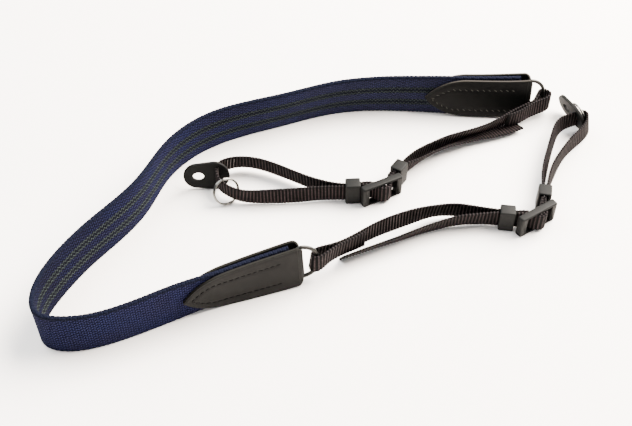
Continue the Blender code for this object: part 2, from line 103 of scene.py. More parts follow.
# SHOULDER WEBBING
# A 25 mm band of thick webbing that stands on its lower edge: navy yarn woven in chevrons, with two
# pairs of grey-green grip threads that zigzag along its inner face. Leather holds it at both ends.
class Route:
    """A smooth line for a band on edge, through rows of x, y, z and lean."""

    def __init__(self, rows):
        self.table = np.array(rows, float)
        steps = np.linalg.norm(np.diff(self.table[:, :3], axis=0), axis=1)
        self.knots = np.concatenate(([0.0], np.cumsum(steps)))
        self.length = self.knots[-1]
        gaps = np.diff(self.knots)
        slopes = np.diff(self.table, axis=0) / gaps[:, None]
        system = np.eye(len(self.knots))
        right = np.zeros_like(self.table)
        for i in range(1, len(self.knots) - 1):
            system[i, i - 1 : i + 2] = gaps[i - 1], 2 * (gaps[i - 1] + gaps[i]), gaps[i]
            right[i] = 6 * (slopes[i] - slopes[i - 1])
        self.bends = np.linalg.solve(system, right)

    def rows_at(self, distances):
        """The smoothed rows at each distance along the line."""
        i = np.clip(np.searchsorted(self.knots, distances) - 1, 0, len(self.knots) - 2)
        gap = (self.knots[i + 1] - self.knots[i])[:, None]
        ahead = (self.knots[i + 1] - distances)[:, None]
        behind = (distances - self.knots[i])[:, None]
        cubic = (self.bends[i] * ahead**3 + self.bends[i + 1] * behind**3) / (6 * gap)
        start = (self.table[i] / gap - self.bends[i] * gap / 6) * ahead
        end = (self.table[i + 1] / gap - self.bends[i + 1] * gap / 6) * behind
        return cubic + start + end

    def frames(self, distances):
        """Middle, travel, up and across at each distance; a lean tips the top to the right of travel."""
        probe = 0.05
        distances = np.asarray(distances, float)
        rows = self.rows_at(distances)
        ahead = self.rows_at(np.minimum(distances + probe, self.length))
        behind = self.rows_at(np.maximum(distances - probe, 0))
        travel = (ahead - behind)[:, :3]
        travel /= np.linalg.norm(travel, axis=1, keepdims=True)
        side = np.cross(travel, (0, 0, 1))
        side /= np.linalg.norm(side, axis=1, keepdims=True)
        rise = np.cross(side, travel)
        lean = np.radians(rows[:, 3:4])
        up = rise * np.cos(lean) + side * np.sin(lean)
        across = side * np.cos(lean) - rise * np.sin(lean)
        return rows[:, :3], travel, up, across


def show(name, mesh):
    """Put a finished mesh in the scene as an object."""
    piece = bpy.data.objects.new(name, mesh)
    bpy.context.scene.collection.objects.link(piece)
    return piece


def wrap_grid(name, places, uvs, close_along=False):
    """A grid laid over rows of places in mm, welded where it meets itself, with its open ends filled."""
    along, round_it = places.shape[0] - 1, places.shape[1] - 1
    places[:, -1] = places[:, 0]
    if close_along:
        places[-1] = places[0]
    skin = bmesh.new()
    bmesh.ops.create_grid(skin, x_segments=along, y_segments=round_it, size=0.5)
    layer = skin.loops.layers.uv.new("surface")
    spots = {}
    for vert in skin.verts:
        spots[vert] = (round((vert.co.x + 0.5) * along), round((vert.co.y + 0.5) * round_it))
    for face in skin.faces:
        face.smooth = True
        for loop in face.loops:
            loop[layer].uv = uvs[spots[loop.vert]]
    for vert, spot in spots.items():
        vert.co = (places[spot] - MIDDLE) * MM
    bmesh.ops.remove_doubles(skin, verts=skin.verts, dist=1e-7)
    if not close_along:
        bmesh.ops.holes_fill(skin, edges=[e for e in skin.edges if e.is_boundary], sides=0)
    bmesh.ops.recalc_face_normals(skin, faces=skin.faces)
    return show(name, to_mesh(name, skin))


def band_section(thickness, corner, face_count, arc_count):
    """Round a band: across offset, share of the half height, corner rise, and the outward direction."""
    flat = thickness / 2 - corner
    shares = np.linspace(-1, 1, face_count + 1)
    turns = np.radians(np.linspace(0, 90, arc_count + 1))
    arcs = [(math.cos(a), math.sin(a)) for a in turns]
    points = [(thickness / 2, share, 0, 1, 0) for share in shares]
    points += [(flat + corner * c, 1, corner * s, c, s) for c, s in arcs[1:]]
    points += [(-flat - corner * s, 1, corner * c, -s, c) for c, s in arcs]
    points += [(-thickness / 2, -share, 0, -1, 0) for share in shares[1:]]
    points += [(-flat - corner * c, -1, -corner * s, -c, -s) for c, s in arcs[1:]]
    points += [(flat + corner * s, -1, -corner * c, s, -c) for c, s in arcs]
    return np.array(points)


def lay_band(name, frames, halves, section, corner, relief):
    """Sweep a band's section along its frames; relief raises the surface by distance along and round."""
    middle, distance, up, across = frames
    half = np.asarray(halves)[:, None]
    nominal = max(halves) - corner
    offset = section[None, :, 0]
    height = section[None, :, 1] * (half - corner) + section[None, :, 2]
    steps = np.hypot(np.diff(section[:, 0]), np.diff(section[:, 1] * nominal + section[:, 2]))
    round_it = np.concatenate(([0.0], np.cumsum(steps)))
    u, v = np.meshgrid(distance, round_it, indexing="ij")
    raised = relief(u, v, section)
    offset = offset + raised * section[None, :, 3]
    height = height + raised * section[None, :, 4]
    places = middle[:, None] + offset[..., None] * across[:, None] + height[..., None] * up[:, None]
    return wrap_grid(name, places, np.stack([u, v], axis=-1))


WEBBING_WIDTH = 25.0
WEBBING_THICKNESS = 2.3
WEBBING_CORNER = 0.8
WEBBING_SHORT_OF_BAR = 3.5
WEBBING_STEP = 0.4
CHEVRON_COLUMN = 1.15
CHEVRON_PITCH = 1.85
CHEVRON_SLANT = 0.7
SCALLOP_DEPTH = 0.26
GRIP_STRIPES = (0.35, 0.69)  # share of the width, down from the top edge
GRIP_THREAD_OFFSET = 1.25
GRIP_THREAD_HALF = 0.30

# The lower edge's line from the front ring's bar round to the back ring's bar: x, y, lean, lift
MAIN_ROUTE = (
    (-9.5, -45.5, 4.5, 0.6),
    (-36.0, -56.0, -1.0, 0.3),
    (-45.5, -60.0, -4.0, 0.4),
    (-64.5, -68.5, -2.0, 0.2),
    (-104.0, -86.0, -1.5, 0.0),
    (-109.5, -87.0, -0.5, 0.0),
    (-126.5, -83.5, -0.5, 0.0),
    (-129.5, -71.0, -1.0, 0.0),
    (-126.0, -58.0, -3.5, 0.0),
    (-113.0, -34.0, -5.5, 0.0),
    (-97.5, -12.5, -4.5, 0.0),
    (-90.5, -0.5, -2.5, 0.0),
    (-80.0, 26.0, 1.5, 0.0),
    (-62.5, 47.5, 1.5, 0.0),
    (-34.5, 62.0, 4.0, 0.0),
    (-20.5, 67.0, 5.5, 0.0),
    (11.5, 78.5, 5.5, 0.0),
    (51.5, 81.5, 0.0, 0.3),
    (105.5, 79.5, -6.0, 0.5),
    (119.4, 80.0, -5.0, 0.6),
)
standing = []
for x, y, lean, lift in MAIN_ROUTE:
    tip = math.radians(lean)
    rise = WEBBING_WIDTH / 2 * math.cos(tip) + WEBBING_THICKNESS / 2 * abs(math.sin(tip))
    standing.append((x, y, rise + lift, lean))
main_route = Route(standing)


def webbing_relief(u, v, section):
    """Scalloped edges where the yarn turns back, and faces that swell a little."""
    scallop = np.abs(np.sin(np.pi * u / (2 * CHEVRON_COLUMN))) ** 0.7 - 0.75
    face = 0.05 * np.cos(2 * np.pi * v / CHEVRON_PITCH / 2) * np.cos(np.pi * u / CHEVRON_COLUMN)
    edge = np.abs(section[None, :, 4])
    top = 0.3 * np.maximum(section[None, :, 4], 0)
    swell = 0.06 * np.sin(u / 7.3) * np.sin(v / 5.1 + u / 19)
    return top + SCALLOP_DEPTH * edge * scallop + (1 - edge) * face + swell


stations = np.arange(WEBBING_SHORT_OF_BAR, main_route.length - WEBBING_SHORT_OF_BAR, WEBBING_STEP)
middle, travel, up, across = main_route.frames(stations)
webbing = lay_band(
    "webbing",
    (middle, stations, up, across),
    np.full(len(stations), WEBBING_WIDTH / 2),
    band_section(WEBBING_THICKNESS, WEBBING_CORNER, face_count=24, arc_count=3),
    WEBBING_CORNER,
    webbing_relief,
)


def new_material(name, roughness, specular):
    """A material with its tree and shader; roughness and specular are set on the shader itself."""
    material = bpy.data.materials.new(name)
    material.use_nodes = True
    tree = material.node_tree
    shader = tree.nodes["Principled BSDF"]
    shader.inputs["Roughness"].default_value = roughness
    shader.inputs["Specular IOR Level"].default_value = specular
    return material, tree, shader


def node(tree, kind, inputs=(), **settings):
    """Add a node; each input is a value or a socket."""
    made = tree.nodes.new(kind)
    for key, value in settings.items():
        setattr(made, key, value)
    for index, value in enumerate(inputs):
        if isinstance(value, bpy.types.NodeSocket):
            tree.links.new(value, made.inputs[index])
        elif value is not None:
            made.inputs[index].default_value = value
    return made


def surface_map(tree):
    """A band's own map in mm: the vector, the way along and the way round."""
    surface = node(tree, "ShaderNodeUVMap", uv_map="surface").outputs[0]
    return surface, *node(tree, "ShaderNodeSeparateXYZ", (surface,)).outputs[:2]


def maths(tree, operation, *inputs):
    """One step of arithmetic on values or sockets."""
    return node(tree, "ShaderNodeMath", inputs, operation=operation).outputs[0]


def mix_colour(tree, share, first, second):
    """The first colour where the share is 0, the second where it is 1."""
    mixer = node(tree, "ShaderNodeMix", data_type="RGBA")
    for socket, value in ((mixer.inputs[0], share), (mixer.inputs[6], first), (mixer.inputs[7], second)):
        if isinstance(value, bpy.types.NodeSocket):
            tree.links.new(value, socket)
        elif socket == mixer.inputs[0]:
            socket.default_value = value
        else:
            socket.default_value = (*value, 1)
    return mixer.outputs[2]


def mask_between(tree, value, low, high, soft):
    """1 where the value lies between low and high, with soft sides."""
    rise = node(tree, "ShaderNodeMapRange", (value, low - soft, low + soft)).outputs[0]
    fall = node(tree, "ShaderNodeMapRange", (value, high - soft, high + soft, 1.0, 0.0)).outputs[0]
    return maths(tree, "MULTIPLY", rise, fall)


def speckle(tree, vector, scale, detail=2.0, flat=True):
    """Noise from 0 to 1 over a surface in mm, or over a place in metres."""
    made = node(tree, "ShaderNodeTexNoise", (vector,), noise_dimensions="2D" if flat else "3D")
    made.inputs["Scale"].default_value = scale
    made.inputs["Detail"].default_value = detail
    return made.outputs[0]


def press(tree, shader, height, strength, depth):
    """Feed a height through a bump node; depth is in mm."""
    bump = node(tree, "ShaderNodeBump")
    bump.inputs["Strength"].default_value = strength
    bump.inputs["Distance"].default_value = depth * MM
    tree.links.new(height, bump.inputs["Height"])
    tree.links.new(bump.outputs[0], shader.inputs["Normal"])


def open_group(name, inputs, outputs):
    """A shader node group with float inputs, but for its Vector, and float outputs."""
    group = bpy.data.node_groups.new(name, "ShaderNodeTree")
    for socket in inputs:
        kind = "NodeSocketVector" if socket == "Vector" else "NodeSocketFloat"
        group.interface.new_socket(name=socket, in_out="INPUT", socket_type=kind)
    for socket in outputs:
        group.interface.new_socket(name=socket, in_out="OUTPUT", socket_type="NodeSocketFloat")
    return group, group.nodes.new("NodeGroupInput").outputs, group.nodes.new("NodeGroupOutput").inputs


def place_group(tree, group, vector, **values):
    """Place a node group on a vector, with this material's own values; returns its outputs."""
    placed = node(tree, "ShaderNodeGroup", node_tree=group)
    tree.links.new(vector, placed.inputs["Vector"])
    for socket, value in values.items():
        placed.inputs[socket].default_value = value
    return placed.outputs


# Yarn in chevrons: columns of short slanted strokes, every second pair of columns half a pitch up
chevrons, given, result = open_group(
    "chevron_yarn", ("Vector", "Column", "Pitch", "Slant"), ("Height", "Fleck")
)
split = node(chevrons, "ShaderNodeSeparateXYZ", (given["Vector"],))
turn = maths(chevrons, "PINGPONG", split.outputs[0], given["Column"])
pair = maths(chevrons, "DIVIDE", split.outputs[0], maths(chevrons, "MULTIPLY", given["Column"], 2.0))
stagger = maths(chevrons, "FLOORED_MODULO", maths(chevrons, "FLOOR", pair), 2.0)
stagger = maths(chevrons, "MULTIPLY", stagger, 0.5)
climb = maths(chevrons, "MULTIPLY_ADD", turn, given["Slant"], split.outputs[1])
stroke = maths(chevrons, "ADD", maths(chevrons, "DIVIDE", climb, given["Pitch"]), stagger)
stroke = maths(chevrons, "SINE", maths(chevrons, "MULTIPLY", stroke, math.pi))
stroke = maths(chevrons, "ABSOLUTE", stroke)
dive = maths(chevrons, "MULTIPLY", maths(chevrons, "DIVIDE", split.outputs[0], given["Column"]), math.pi)
dive = maths(chevrons, "POWER", maths(chevrons, "ABSOLUTE", maths(chevrons, "SINE", dive)), 0.7)
yarn = maths(chevrons, "MULTIPLY", stroke, maths(chevrons, "MULTIPLY_ADD", dive, 0.8, 0.2))
chevrons.links.new(yarn, result["Height"])
chevrons.links.new(maths(chevrons, "POWER", yarn, 1.6), result["Fleck"])

# The inner face is darker up to the left bend and paler along the back leg, as the photograph's light
# has it: the distances along in mm between which each share changes, and its two values
INNER_SHADE = (150.0, 290.0, 0.58, 0.0)
INNER_PAINTED_LIGHT = (260.0, 380.0, 0.0, 0.30)


def webbing_cloth():
    """Navy yarn in chevrons, with the grip threads' zigzags on the inner face only."""
    material, tree, shader = new_material("navy_webbing", 0.95, 0.03)
    surface, u, v = surface_map(tree)
    weave = place_group(
        tree, chevrons, surface, Column=CHEVRON_COLUMN, Pitch=CHEVRON_PITCH, Slant=CHEVRON_SLANT
    )
    fibre = speckle(tree, surface, 1.3, 3.0)
    fade = speckle(tree, surface, 0.07, 2.0)
    flat = WEBBING_WIDTH - 2 * WEBBING_CORNER
    round_it = flat + WEBBING_THICKNESS - 2 * WEBBING_CORNER + WEBBING_CORNER * math.pi
    face = mask_between(tree, maths(tree, "FLOORED_MODULO", v, round_it), 0.2, flat - 0.2, 0.5)
    light = maths(tree, "MULTIPLY", weave["Fleck"], maths(tree, "MULTIPLY_ADD", fibre, 2.0, 0.1))
    navy = mix_colour(tree, light, (0.0007, 0.0008, 0.0050), (0.0150, 0.0190, 0.060))
    dusk = mix_colour(tree, light, (0.0009, 0.0008, 0.0042), (0.0170, 0.0165, 0.040))
    colour = mix_colour(tree, fade, navy, dusk)
    inner = mask_between(tree, v, -9.0, flat + 0.5, 0.3)
    # Painted shade darkens the inner face up to the left bend
    shade = node(tree, "ShaderNodeMapRange", (u, *INNER_SHADE)).outputs[0]
    colour = mix_colour(tree, maths(tree, "MULTIPLY", inner, shade), colour, (0.0005, 0.0005, 0.0012))
    # Painted light makes the inner face paler along the back leg
    paler_share = node(tree, "ShaderNodeMapRange", (u, *INNER_PAINTED_LIGHT)).outputs[0]
    colour = mix_colour(tree, maths(tree, "MULTIPLY", inner, paler_share), colour, (0.021, 0.022, 0.032))
    zigzag = maths(tree, "MULTIPLY_ADD", maths(tree, "PINGPONG", u, 1.1), 1.1, -0.6)
    level = maths(tree, "ADD", v, zigzag)
    stripe = grip = None
    for share in GRIP_STRIPES:
        centre = WEBBING_WIDTH * (1 - share) - WEBBING_CORNER
        for offset in (-GRIP_THREAD_OFFSET, GRIP_THREAD_OFFSET):
            low, high = centre + offset - GRIP_THREAD_HALF, centre + offset + GRIP_THREAD_HALF
            line = mask_between(tree, level, low, high, 0.14)
            grip = line if grip is None else maths(tree, "MAXIMUM", grip, line)
        wide = mask_between(tree, v, centre - 2.0, centre + 2.0, 0.3)
        stripe = wide if stripe is None else maths(tree, "MAXIMUM", stripe, wide)
    colour = mix_colour(tree, maths(tree, "MULTIPLY", stripe, 0.8), colour, (0.0024, 0.0032, 0.0036))
    links = maths(tree, "ABSOLUTE", maths(tree, "SINE", maths(tree, "MULTIPLY", u, math.pi)))
    links = maths(tree, "MULTIPLY", links, fibre)
    thread = mix_colour(tree, links, (0.0090, 0.0115, 0.0115), (0.052, 0.066, 0.064))
    colour = mix_colour(tree, grip, colour, thread)
    colour = mix_colour(tree, face, (0.0037, 0.0044, 0.0098), colour)
    tree.links.new(colour, shader.inputs["Base Color"])
    tall = maths(tree, "ADD", weave["Height"], maths(tree, "MULTIPLY", fibre, 0.4))
    press(tree, shader, maths(tree, "ADD", tall, maths(tree, "MULTIPLY", grip, 0.5)), 1.0, 0.35)
    return material


webbing.data.materials.append(webbing_cloth())
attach(webbing, "root")
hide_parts("shoulder_webbing")


# LEATHER TABS
# Each end of the webbing is held in one strip of 1.5 mm black leather, folded round a ring's bar.
# Both flaps end in a pointed arch and are sewn through the webbing, and the cut edges are left raw.
LEATHER_HEIGHT = 25.4
LEATHER_THICKNESS = 1.5
LEATHER_CORNER = 0.32
TAB_POINT = 23.0
NOSE = 0.8
NECK_HALF = 7.9
NECK_LENGTH = 1.7
LEATHER_GAP = 0.3
FLARE_LENGTH = 26
STITCH_INSET = 4.9
STITCH_ROW = 6.8
STITCH_LIFT = LEATHER_THICKNESS / 2 - 0.1
SEAM_FROM_TIP = 3.5
FIRST_STITCH = 1.4


def tab_half(from_tip):
    """Half the height of a flap at a distance from its tip: a pointed arch."""
    half = LEATHER_HEIGHT / 2
    radius = (TAB_POINT**2 + half**2) / (2 * half)
    into = np.maximum(TAB_POINT - from_tip, 0)
    return np.maximum(np.sqrt(radius**2 - into**2) - (radius - half), NOSE)


def stitch_line(pitch, end):
    """Places of one row's stitches, as distance from the tip and height, from the nose to the end."""
    x = np.linspace(SEAM_FROM_TIP, end, 800)
    y = np.maximum(np.minimum(tab_half(x) - STITCH_INSET, STITCH_ROW), 0)
    run = np.concatenate(([0.0], np.cumsum(np.hypot(np.diff(x), np.diff(y)))))
    at = np.arange(FIRST_STITCH, run[-1], pitch)
    return np.interp(at, run, x), np.interp(at, run, y)


def notch(from_fold, wide, power):
    """Half the height of the leather near its fold, where a notch lets the ring's bow out."""
    share = np.clip((from_fold - NECK_LENGTH) / (wide - NECK_LENGTH), 0, 1)
    rise = (1 - (1 - share) ** power) ** (1 / power)
    return NECK_HALF + (LEATHER_HEIGHT / 2 - NECK_HALF) * rise


def cut_tab(name, at_start, reach, bar_out, spread, drop, trim, pitch, short, row_drop):
    """One folded strip of leather; returns it with its flaps' frames and its rows of stitches.

    Near the bar the flaps spread apart. The near one hangs lower by the drop, and is narrower by
    the trim."""
    offset = WEBBING_THICKNESS / 2 + LEATHER_GAP + LEATHER_THICKNESS / 2
    flap = reach - offset - LEATHER_THICKNESS / 2
    from_bar = np.concatenate([np.linspace(0, 6, 30), np.linspace(6, flap, 112)[1:]])
    along = from_bar if at_start else main_route.length - from_bar
    middle, travel, up, across = main_route.frames(along)
    outward = -travel[0] if at_start else travel[0]
    near_sign = -1 if at_start else 1
    apart = (offset + spread * np.exp(-((from_bar / FLARE_LENGTH) ** 2)))[:, None]
    angles = np.radians(np.arange(-87, 88, 3))
    turn = np.cos(angles)[:, None] * outward + np.sin(angles)[:, None] * across[0]
    ups = np.concatenate([up[::-1], np.repeat(up[:1], len(angles), axis=0), up])
    outs = np.concatenate([-across[::-1], turn, across])
    hang = up * drop * (1 - np.exp(-from_bar / 6))[:, None]
    left = middle - apart * across - (hang if at_start else 0)
    right = middle + apart * across - (0 if at_start else hang)
    middles = np.concatenate([left[::-1], middle[0] + bar_out * outward + apart[0] * turn, right])
    steps = np.linalg.norm(np.diff(middles, axis=0), axis=1)
    run = np.concatenate(([0.0], np.cumsum(steps)))
    fold = run - run[len(from_bar) + len(angles) // 2]
    near = near_sign * fold
    arch = tab_half(np.minimum(run, run[-1] - run))
    high = np.minimum(arch, np.where(near > 0, notch(near, 5.0, 2.0), notch(-near, 6.2, 2.2)))
    low = np.minimum(arch, np.where(near > 0, notch(near, 4.4, 1.3), notch(-near, 5.4, 1.5)))
    high = high * (1 - trim * np.clip(near / 5, 0, 1))
    low = low * (1 - trim * np.clip(near / 5, 0, 1))
    middles = middles + ups * ((high - low) / 2)[:, None]
    row = stitch_line(pitch, flap - short)
    shares = np.linspace(0, 1, 60)
    seam = [np.interp(shares, np.linspace(0, 1, len(part)), part) for part in row]

    def relief(u, v, section):
        """A furrow along the seam, and cut edges that round over."""
        from_tip = np.minimum(u, run[-1] - u)
        side = np.where(near_sign * (u - run[-1] / 2) > 0, row_drop, 0.0)
        height = np.abs(section[None, :, 1] * ((high + low) / 2)[:, None] + side)
        gap = np.full(u.shape, 9.0)
        for x, y in zip(*seam):
            gap = np.minimum(gap, np.hypot(from_tip - x, height - y))
        face = (np.abs(section[None, :, 3]) > 0.9) * (section[None, :, 3] > 0)
        ease = -0.16 * np.exp(-((((high + low) / 2)[:, None] - height) / 0.7) ** 2)
        return (-0.2 * np.exp(-((gap / 0.8) ** 2)) + ease + 0.05 * np.sin(u / 8.3 + v / 6.1)) * face

    section = band_section(LEATHER_THICKNESS, LEATHER_CORNER, face_count=40, arc_count=3)
    piece = lay_band(name, (middles, run, ups, outs), (high + low) / 2, section, LEATHER_CORNER, relief)
    toward_bar = travel * (-1 if at_start else 1)
    flaps = (
        (left - (row_drop * up if at_start else 0), up, -across, toward_bar),
        (right - (0 if at_start else row_drop * up), up, across, toward_bar),
    )
    return piece, flaps, from_bar, row, flap


def add_stitch(thread, point, length_way, out_way, size):
    """One round-ended stitch: its size is length, width and height in mm."""
    side_way = np.cross(out_way, length_way)
    axes = np.stack([length_way * size[0], side_way * size[1], out_way * size[2]], axis=1) / 2
    place = Matrix.Translation(Vector(point - MIDDLE)) @ Matrix(axes.tolist()).to_4x4()
    laid = Matrix.Scale(MM, 4) @ place @ Matrix.Rotation(math.pi / 2, 4, "Y")
    bmesh.ops.create_uvsphere(thread, u_segments=10, v_segments=6, radius=1, matrix=laid)


def finish_stitches(name, thread, material):
    """Make one piece of all the stitches of a seam."""
    for face in thread.faces:
        face.smooth = True
    bmesh.ops.recalc_face_normals(thread, faces=thread.faces)
    mesh = to_mesh(name, thread)
    mesh.materials.append(material)
    piece = show(name, mesh)
    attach(piece, "root")


# A blotchy value for any finish: smooth clouds with finer ones over them
mottle, given, result = open_group("mottled", ("Vector", "Size", "Contrast"), ("Value",))
clouds = node(mottle, "ShaderNodeTexNoise", (given["Vector"],))
clouds.inputs["Detail"].default_value = 5
mottle.links.new(given["Size"], clouds.inputs["Scale"])
centred = maths(mottle, "SUBTRACT", clouds.outputs[0], 0.5)
contrast = maths(mottle, "MULTIPLY_ADD", centred, given["Contrast"], 0.5)
mottle.links.new(contrast, result["Value"])


def black_leather(name, colour, edge_colour, roughness):
    """Smooth leather with fine pores; its cut edge is paler and rougher."""
    material, tree, shader = new_material(name, roughness, 0.08)
    surface, _, v = surface_map(tree)
    width = LEATHER_HEIGHT - 2 * LEATHER_CORNER
    edge = LEATHER_THICKNESS - 2 * LEATHER_CORNER + LEATHER_CORNER * math.pi
    round_it = maths(tree, "FLOORED_MODULO", v, width + edge)
    cut = mask_between(tree, round_it, width + 0.35, width + edge - 0.35, 0.08)
    blotch = place_group(tree, mottle, surface, Size=0.14, Contrast=1.6)[0]
    face = mix_colour(tree, blotch, tuple(c * 0.7 for c in colour), tuple(c * 1.3 for c in colour))
    tree.links.new(mix_colour(tree, cut, face, edge_colour), shader.inputs["Base Color"])
    rough = maths(tree, "MULTIPLY_ADD", cut, 0.3, roughness - 0.06)
    tree.links.new(maths(tree, "MULTIPLY_ADD", blotch, 0.12, rough), shader.inputs["Roughness"])
    pores = node(tree, "ShaderNodeTexVoronoi", (surface,), voronoi_dimensions="2D")
    pores.inputs["Scale"].default_value = 2.6
    press(tree, shader, maths(tree, "ADD", pores.outputs["Distance"], blotch), 0.3, 0.1)
    return material


def waxed_thread(name, colour):
    """Sewing thread, darker where its plies turn under."""
    material, tree, shader = new_material(name, 0.75, 0.08)
    place = node(tree, "ShaderNodeTexCoord").outputs["Object"]
    plies = place_group(tree, mottle, place, Size=2200, Contrast=2.0)[0]
    tone = mix_colour(tree, plies, tuple(c * 0.45 for c in colour), colour)
    tree.links.new(tone, shader.inputs["Base Color"])
    return material


Tab = namedtuple(
    "Tab",
    "name at_start reach bar_out spread drop trim pitch short row_drop slant stitch leather edge thread",
)
TABS = (
    Tab(
        "front", True, 61.0, -0.2, 0.7, 0.0, 0.0, 3.0, 8.2, 0.5, 4, (2.3, 0.8, 0.5),
        (0.00145, 0.00135, 0.00115), (0.0065, 0.0061, 0.0052), (0.0003, 0.0003, 0.0003),
    ),
    Tab(
        "back", False, 60.0, -0.3, 1.0, 0.4, 0.05, 3.3, 5.8, 0.8, -35, (1.9, 0.6, 0.5),
        (0.0013, 0.0013, 0.0012), (0.022, 0.0195, 0.017), (0.042, 0.041, 0.036),
    ),
)
for tab in TABS:
    piece, flaps, from_bar, row, flap = cut_tab(f"tab_{tab.name}", *tab[1:10])
    piece.data.materials.append(black_leather(f"black_leather_{tab.name}", tab.leather, tab.edge, 0.6))
    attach(piece, "root")
    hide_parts(f"leather_tab_{tab.name}")
    thread = bmesh.new()
    heading = np.degrees(np.arctan2(np.gradient(row[1]), np.gradient(row[0])))
    for middle, up, out, toward_bar in flaps:
        for sign in (-1, 1):
            for count, (x, y, turn) in enumerate(zip(*row, heading)):
                here = int(np.argmin(abs(from_bar - (flap - x))))
                along_flap = np.array([np.interp(flap - x, from_bar, middle[:, k]) for k in range(3)])
                wobble = 5 * math.sin(count * 2.4 + sign)
                angle = math.radians(turn * sign + tab.slant + wobble)
                lengthways = toward_bar[here] * math.cos(angle) + up[here] * math.sin(angle)
                point = along_flap + up[here] * y * sign + out[here] * STITCH_LIFT
                add_stitch(thread, point, lengthways, out[here], tab.stitch)
    waxed = waxed_thread(f"waxed_thread_{tab.name}", tab.thread)
    finish_stitches(f"tab_{tab.name}_stitches", thread, waxed)


# OVAL RINGS
# A ring of 2 mm steel wire at each end of the webbing, with a dark satin plating.
# Its straight bar lies in the fold of the leather, and the narrow webbing is sewn round its bow.
Place = namedtuple("Place", "x y z bearing tip")
RING_WIRE = 2.0
RING_REACH = 10.0
RING_HALF = 10.0
RING_FULLNESS = 2.4
RINGS = {
    "front": Place(-9.0, -45.4, 13.3, 12, 4.5),
    "back": Place(119.9, 80.0, 12.9, 3, 5),
}


def standing_at(place):
    """The matrix that turns a piece to its bearing, tips its top back and sets it in place, in metres."""
    turn = Matrix.Rotation(math.radians(place.bearing), 4, "Z")
    turn = turn @ Matrix.Rotation(math.radians(-place.tip), 4, "X")
    return Matrix.Translation((Vector(place[:3]) - Vector(MIDDLE)) * MM) @ turn @ Matrix.Scale(MM, 4)


def draw_wire(name, path, radius, facing):
    """Round wire on a closed flat path; facing is the way its loop faces."""
    tangent = np.roll(path, -1, axis=0) - np.roll(path, 1, axis=0)
    path = np.vstack([path, path[:1]])
    tangent = np.vstack([tangent, tangent[:1]])
    tangent /= np.linalg.norm(tangent, axis=1, keepdims=True)
    out = np.cross(tangent, facing)
    out /= np.linalg.norm(out, axis=1, keepdims=True)
    angles = np.linspace(0, 2 * math.pi, 17)
    ring = np.cos(angles)[None, :, None] * out[:, None]
    ring = ring + np.sin(angles)[None, :, None] * np.cross(out, tangent)[:, None]
    run = np.concatenate(([0.0], np.cumsum(np.linalg.norm(np.diff(path, axis=0), axis=1))))
    uvs = np.stack(np.meshgrid(run, angles, indexing="ij"), axis=-1)
    return wrap_grid(name, path[:, None] + radius * ring, uvs, close_along=True)


def plated_metal(name, colour, roughness, scuff):
    """Plated metal, duller and darker in patches."""
    material, tree, shader = new_material(name, roughness, 0.5)
    shader.inputs["Metallic"].default_value = 1.0
    place = node(tree, "ShaderNodeTexCoord").outputs["Object"]
    cloud = place_group(tree, mottle, place, Size=260, Contrast=1.6)[0]
    tone = mix_colour(tree, cloud, tuple(c * 0.75 for c in colour), colour)
    tree.links.new(tone, shader.inputs["Base Color"])
    rough = maths(tree, "MULTIPLY_ADD", cloud, scuff, roughness - scuff / 2)
    tree.links.new(rough, shader.inputs["Roughness"])
    return material


gunmetal = plated_metal("dark_plated_steel", (0.030, 0.029, 0.027), 0.38, 0.12)
for side, place in RINGS.items():
    sweep = np.radians(np.arange(-84, 85, 6))
    out = np.cos(sweep) ** (2 / RING_FULLNESS)
    climb = np.sign(sweep) * np.abs(np.sin(sweep)) ** (2 / RING_FULLNESS)
    bow = np.stack([RING_REACH * out, 0 * out, RING_HALF * climb], axis=1)
    bar = np.array([(0, 0, z) for z in (9.2, 8.0, 5, 2, -2, -5, -8.0, -9.2)])
    path = np.vstack([bow, bar])
    for _ in range(2):
        ahead = np.roll(path, -1, axis=0)
        path = np.stack([0.75 * path + 0.25 * ahead, 0.25 * path + 0.75 * ahead], axis=1).reshape(-1, 3)
    turn = np.array(standing_at(place).to_3x3()) / MM
    path = path @ turn.T + np.array(place[:3])
    ring = draw_wire(f"ring_{side}", path, RING_WIRE / 2, turn[:, 1])
    ring.data.materials.append(gunmetal)
    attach(ring, "root")
    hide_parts(f"oval_ring_{side}")


# ADJUSTER STRIPS
# Two strips of 10 mm ribbed webbing, dark brown-black, each sewn round its oval ring.
# Each runs through two keepers and a buckle, out to a loop through the lug protector and the
# split ring, and back to its free end.
STRIP_WIDTH = 10.0
STRIP_THICKNESS = 1.2
STRIP_CORNER = 0.4
STRIP_STEP = 0.3
TOUCH_GAP = 0.3
BUCKLE_BAR = 2.2
BUCKLE_BAR_FORWARD = 0.5
WEAVE_HEIGHT = 6.4
RIB_PITCH = 1.8
# Painted light makes the ribs paler over this stretch from each strip's sewn end
PAINTED_LIGHT_STRETCH = (36, 125, 24)  # where the ribs are lighter: from, to and softness, in mm along
GROOVE = (0.0006, 0.0005, 0.0005)
LOOP_STITCH_COLUMNS = (-48.2, -46.4, -44.6)
LOOP_STITCH_PITCH = 1.05
LOOP_STITCH = (0.62, 0.42, 0.34)
Weave = namedtuple("Weave", "x y bearing before after turn_from turn_to")
FRONT_FROM_RING = (
    (24.5, -27.3, 10.7, 0),
    (17.7, -31.9, 11.3, -3),
    (11.5, -36.1, 11.9, -5),
    (6.8, -40.2, 12.4, -5),
    (3.8, -43.4, 12.6, -2),
    (1.4, -45.3, 12.6, 1),
    (-0.8, -45.7, 12.6, 5),
    (-2.4, -43.8, 12.6, 7),
    (-1.9, -41.0, 12.6, 6),
    (0.5, -39.0, 12.6, 6),
    (6.6, -36.6, 12.2, 5),
    (12.5, -33.5, 11.6, 5),
    (22.0, -27.0, 10.9, 1),
    (31.0, -20.5, 10.1, -4),
    (41.0, -14.5, 9.1, -6),
    (51.0, -9.5, 8.3, -1),
    (61.5, -5.5, 7.5, 9),
    (73.0, -4.0, 6.6, 4),
    (84.0, -6.0, 6.3, 1),
)
